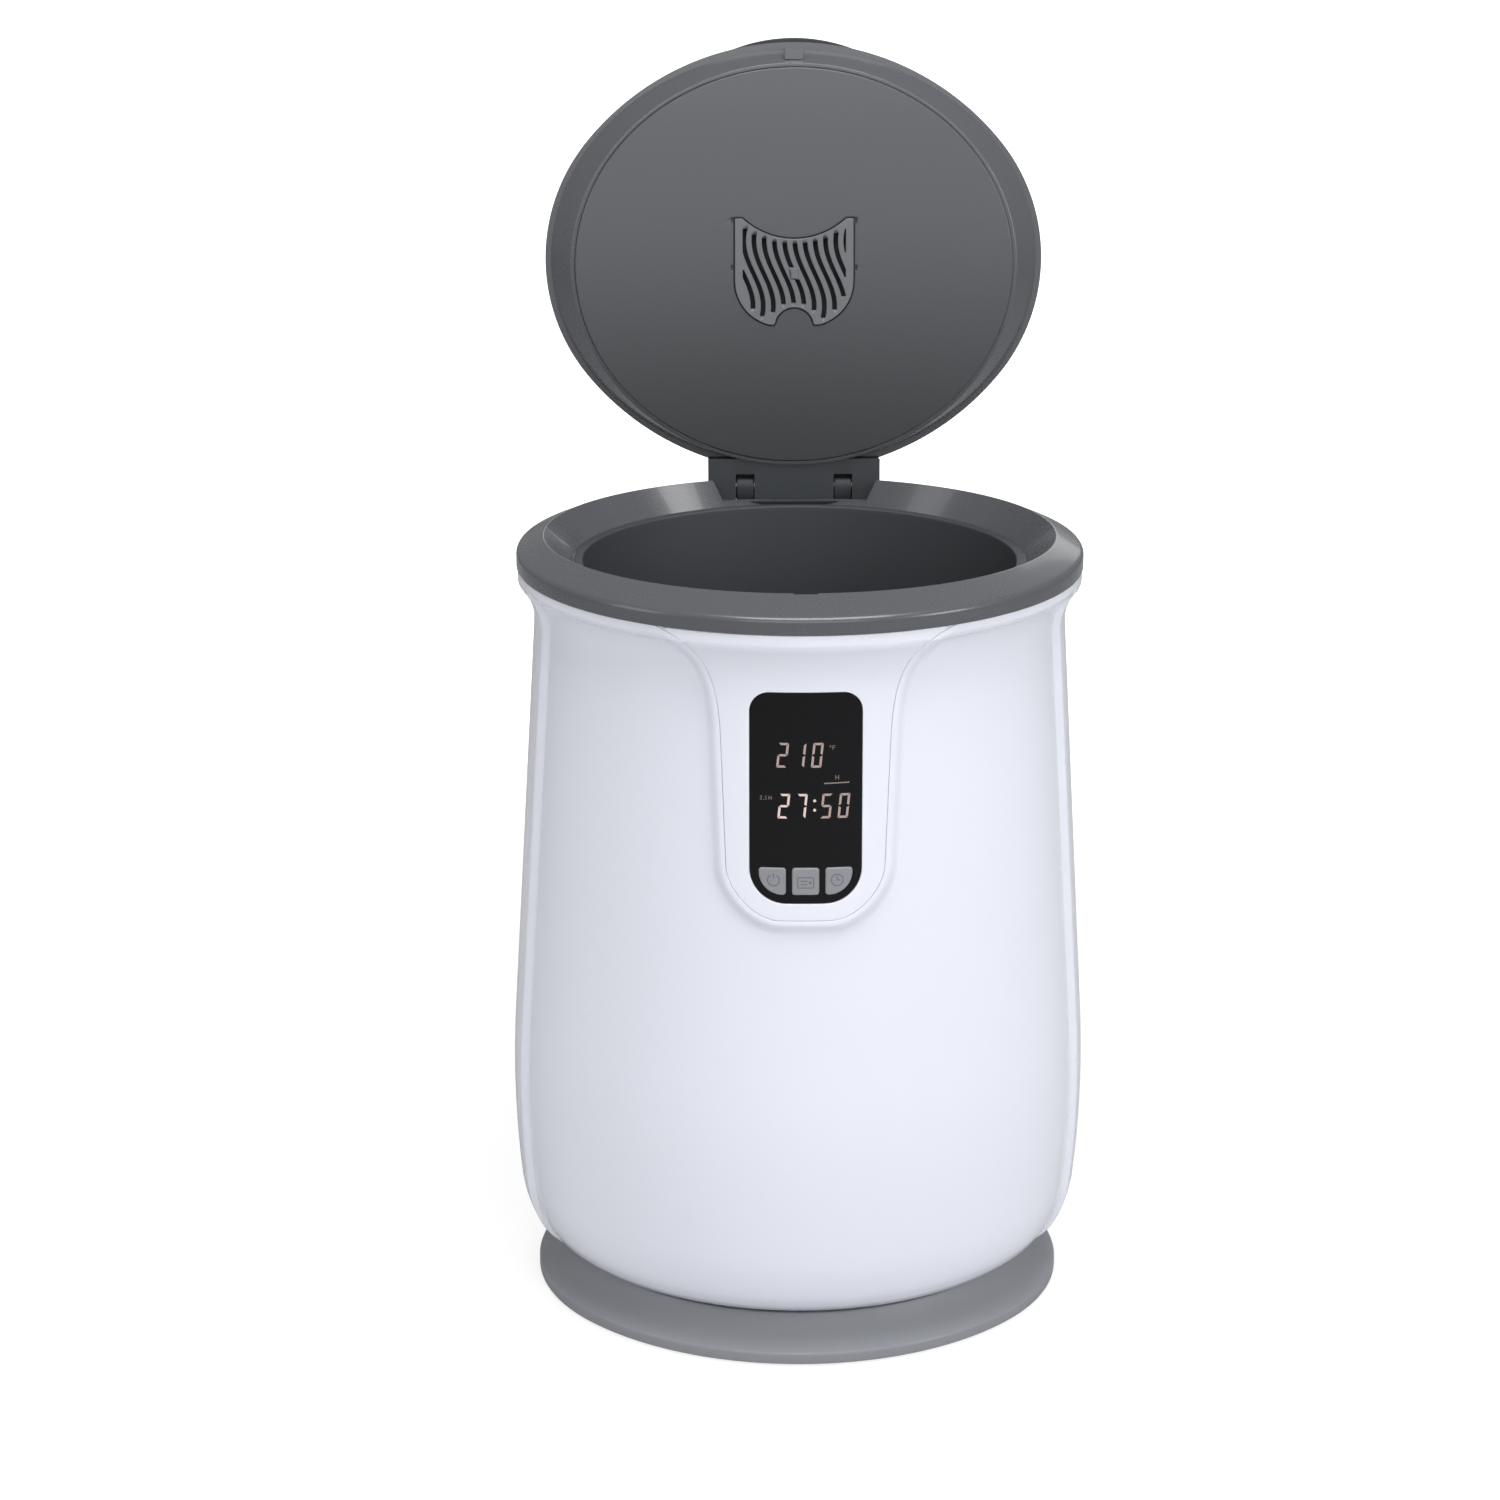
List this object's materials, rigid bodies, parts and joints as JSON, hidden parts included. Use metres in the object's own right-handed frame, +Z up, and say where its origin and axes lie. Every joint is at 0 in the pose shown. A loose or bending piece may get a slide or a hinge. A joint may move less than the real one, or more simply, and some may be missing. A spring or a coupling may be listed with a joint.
{
  "type": "towel warmer bucket",
  "caption": "Free-standing heated towel bucket with an oval tapered body, hinged domed lid, scent vent, rim collar and a display with push buttons.",
  "frame": {"origin": "middle of the footprint, on the plane the feet stand on", "axes": "+X to the user's right, +Y to the back, +Z up; the lid is stored open"},
  "size_m": [0.3432, 0.3477, 0.7242],
  "materials": {
    "white_shell": "high gloss moulded",
    "dark_grey": "satin moulded",
    "base_grey": "satin moulded",
    "black_lens": "tinted gloss",
    "key_grey": "satin",
    "display_black": "matt",
    "board": "coated laminate",
    "switch_black": "matt",
    "barrel_coat": "baked dark coating",
    "heater_foil": "foil",
    "insulation": "felted fibre",
    "felt": "felt",
    "feet_rubber": "matt",
    "steel": "plain",
    "sensor_body": "matt",
    "relay_case": "matt",
    "terminal_green": "matt"
  },
  "bodies": {
    "housing": {"base_skirt": "base_grey", "base_plate": "base_grey", "rubber_feet": "feet_rubber", "base_screws": "steel", "cord_gland": "dark_grey", "front_shell": "white_shell", "rear_shell": "white_shell", "control_fascia": "white_shell", "display_lens": "black_lens", "digit_display": "display_black", "control_board": "board", "tact_switches": "switch_black", "rim_collar": "dark_grey", "hinge_pins": "steel", "inner_barrel": "barrel_coat", "heater_band": "heater_foil", "insulation_sleeve": "insulation", "thermostat": "sensor_body", "thermal_fuse": "sensor_body", "temperature_probe": "steel", "power_board": "board", "power_relay": "relay_case", "terminal_block": "terminal_green"},
    "lid": {"lid_cover": "dark_grey", "lid_liner": "dark_grey", "lid_catch": "dark_grey", "aroma_pad": "felt"},
    "grille": {"aroma_grille": "dark_grey"},
    "power_key": {"power_button": "key_grey"},
    "mode_key": {"mode_button": "key_grey"},
    "timer_key": {"timer_button": "key_grey"}
  },
  "joints": [
    {"name": "lid_hinge", "type": "hinge", "parent": "housing", "child": "lid", "pos_m": [0, 0.138, 0.457], "axis": [1, 0, 0], "range_deg": [0, 97.4]},
    {"name": "grille_slide", "type": "slide", "parent": "lid", "child": "grille", "axis": [0, -0.9917, 0.1288], "range_m": [0, 0.015]},
    {"name": "power_press", "type": "slide", "parent": "housing", "child": "power_key", "axis": [0, 0.9981, -0.0622], "range_m": [0, 0.0008], "stiffness_N_per_m": 400, "springref_m": -0.001},
    {"name": "mode_press", "type": "slide", "parent": "housing", "child": "mode_key", "axis": [0, 0.9981, -0.0622], "range_m": [0, 0.0008], "stiffness_N_per_m": 400, "springref_m": -0.001},
    {"name": "timer_press", "type": "slide", "parent": "housing", "child": "timer_key", "axis": [0, 0.9981, -0.0622], "range_m": [0, 0.0008], "stiffness_N_per_m": 400, "springref_m": -0.001}
  ]
}
